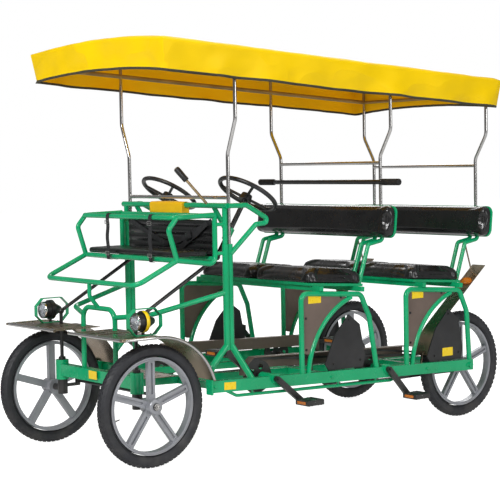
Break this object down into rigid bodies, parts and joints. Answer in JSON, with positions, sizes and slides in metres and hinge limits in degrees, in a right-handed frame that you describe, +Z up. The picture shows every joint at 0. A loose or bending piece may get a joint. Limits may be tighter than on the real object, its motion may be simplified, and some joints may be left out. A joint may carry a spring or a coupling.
{
  "type": "surrey bike",
  "caption": "Pedal surrey bike with bench seats, fabric canopy on bent posts, linked steering wheels, child basket seat, chain driven cranks and rolling spoked wheels",
  "frame": {"origin": "on the ground, midway between the wheels, centre of the bounding box's bottom", "axes": "+Z up, the bike faces -Y, so +Y runs along its length to the rear, +X is its left side"},
  "size_m": [1.172, 2.3338, 1.7937],
  "materials": {
    "frame_paint": "glossy enamel",
    "chrome_tube": "polished chrome plate",
    "canopy_cloth": "coated canvas",
    "seat_vinyl": "grained black vinyl",
    "dash_vinyl": "yellow vinyl",
    "tyre_rubber": "treaded rubber",
    "rim_metal": "cast, silver lacquer",
    "sheet_steel": "polished sheet",
    "axle_steel": "machined",
    "black_metal": "satin black",
    "black_plastic": "moulded",
    "grip_rubber": "soft foam grip",
    "webbing": "woven webbing",
    "lens_glass": "clear, ribbed",
    "amber_plastic": "amber reflector"
  },
  "bodies": {
    "chassis": {"side_rails": "frame_paint", "centre_frame": "frame_paint", "rear_axle": "axle_steel", "front_axle": "frame_paint", "front_hoop": "frame_paint", "uprights": "frame_paint", "dash_frame": "frame_paint", "basket_frame": "frame_paint", "child_back": "seat_vinyl", "child_cushion": "seat_vinyl", "child_straps": "webbing", "front_wings": "sheet_steel", "lamp_guards": "frame_paint", "headlamps": "black_plastic", "lamp_lenses": "lens_glass", "roof_frame": "chrome_tube", "front_posts": "chrome_tube", "bench_posts": "chrome_tube", "canopy": "canopy_cloth", "push_bar": "black_metal", "push_grips": "grip_rubber", "front_bench_frame": "frame_paint", "front_seats": "seat_vinyl", "front_backrest": "seat_vinyl", "front_back_board": "frame_paint", "rear_bench_frame": "frame_paint", "rear_seats": "seat_vinyl", "rear_backrest": "seat_vinyl", "rear_back_board": "frame_paint", "side_panels": "sheet_steel", "wheel_covers": "black_plastic", "rear_mudguards": "sheet_steel", "reflectors": "amber_plastic", "chain_guards": "black_metal", "chains": "black_metal", "lower_tubes": "frame_paint", "foot_plate": "sheet_steel", "dash_pad": "dash_vinyl", "hand_brake": "axle_steel"},
    "steering_left": {"left_steering_wheel": "black_plastic"},
    "steering_right": {"right_steering_wheel": "black_plastic"},
    "shaft_left": {"left_steering_shaft": "black_metal"},
    "shaft_right": {"right_steering_shaft": "black_metal"},
    "knuckle_left": {"left_knuckle": "black_metal"},
    "knuckle_right": {"right_knuckle": "black_metal"},
    "tie_rod": {"tie_rod": "black_metal"},
    "front_left_wheel": {"front_left_rim": "rim_metal", "front_left_tyre": "tyre_rubber"},
    "front_right_wheel": {"front_right_rim": "rim_metal", "front_right_tyre": "tyre_rubber"},
    "rear_left_wheel": {"rear_left_rim": "rim_metal", "rear_left_tyre": "tyre_rubber"},
    "rear_right_wheel": {"rear_right_rim": "rim_metal", "rear_right_tyre": "tyre_rubber"},
    "front_left_crank": {"front_left_crank": "black_metal"},
    "front_right_crank": {"front_right_crank": "black_metal"},
    "rear_left_crank": {"rear_left_crank": "black_metal"},
    "rear_right_crank": {"rear_right_crank": "black_metal"}
  },
  "joints": [
    {"name": "steer_left", "type": "hinge", "parent": "chassis", "child": "steering_left", "pos_m": [0.3, -0.306, 1.115], "axis": [0, 0.5446, 0.8387], "range_deg": [-24, 24]},
    {"name": "steer_right", "type": "hinge", "parent": "chassis", "child": "steering_right", "pos_m": [-0.3, -0.306, 1.115], "axis": [0, 0.5446, 0.8387], "range_deg": [-24, 24]},
    {"name": "shaft_left_turn", "type": "hinge", "parent": "chassis", "child": "shaft_left", "pos_m": [0.3, -0.91, 0.604], "axis": [0, 0.8717, 0.49], "range_deg": [-24, 24]},
    {"name": "knuckle_left_turn", "type": "hinge", "parent": "chassis", "child": "knuckle_left", "pos_m": [0.3, -0.91, 0.342], "axis": [0, 0, 1], "range_deg": [-24, 24]},
    {"name": "shaft_right_turn", "type": "hinge", "parent": "chassis", "child": "shaft_right", "pos_m": [-0.3, -0.91, 0.604], "axis": [0, 0.8717, 0.49], "range_deg": [-24, 24]},
    {"name": "knuckle_right_turn", "type": "hinge", "parent": "chassis", "child": "knuckle_right", "pos_m": [-0.3, -0.91, 0.342], "axis": [0, 0, 1], "range_deg": [-24, 24]},
    {"name": "tie_rod_slide", "type": "slide", "parent": "chassis", "child": "tie_rod", "axis": [1, 0, 0], "range_m": [-0.033, 0.033]},
    {"name": "front_left_roll", "type": "hinge", "parent": "knuckle_left", "child": "front_left_wheel", "pos_m": [0.4, -0.91, 0.257], "axis": [1, 0, 0], "continuous": true},
    {"name": "front_right_roll", "type": "hinge", "parent": "knuckle_right", "child": "front_right_wheel", "pos_m": [-0.4, -0.91, 0.257], "axis": [1, 0, 0], "continuous": true},
    {"name": "rear_left_roll", "type": "hinge", "parent": "chassis", "child": "rear_left_wheel", "pos_m": [0.394, 0.91, 0.257], "axis": [1, 0, 0], "continuous": true},
    {"name": "rear_right_roll", "type": "hinge", "parent": "chassis", "child": "rear_right_wheel", "pos_m": [-0.394, 0.91, 0.257], "axis": [1, 0, 0], "continuous": true},
    {"name": "front_left_pedalling", "type": "hinge", "parent": "chassis", "child": "front_left_crank", "pos_m": [0.4, -0.304, 0.3145], "axis": [1, 0, 0], "continuous": true},
    {"name": "front_right_pedalling", "type": "hinge", "parent": "chassis", "child": "front_right_crank", "pos_m": [-0.4, -0.304, 0.3145], "axis": [1, 0, 0], "continuous": true},
    {"name": "rear_left_pedalling", "type": "hinge", "parent": "chassis", "child": "rear_left_crank", "pos_m": [0.4, 0.36, 0.2907], "axis": [1, 0, 0], "continuous": true},
    {"name": "rear_right_pedalling", "type": "hinge", "parent": "chassis", "child": "rear_right_crank", "pos_m": [-0.4, 0.36, 0.2907], "axis": [1, 0, 0], "continuous": true}
  ],
  "couplings": [
    {"joint": "steer_right", "follows": "steer_left", "ratio": 1},
    {"joint": "shaft_left_turn", "follows": "steer_left", "ratio": 1},
    {"joint": "knuckle_left_turn", "follows": "steer_left", "ratio": 1},
    {"joint": "shaft_right_turn", "follows": "steer_left", "ratio": 1},
    {"joint": "knuckle_right_turn", "follows": "steer_left", "ratio": 1},
    {"joint": "tie_rod_slide", "follows": "steer_left", "m_per_rad": -0.078}
  ]
}
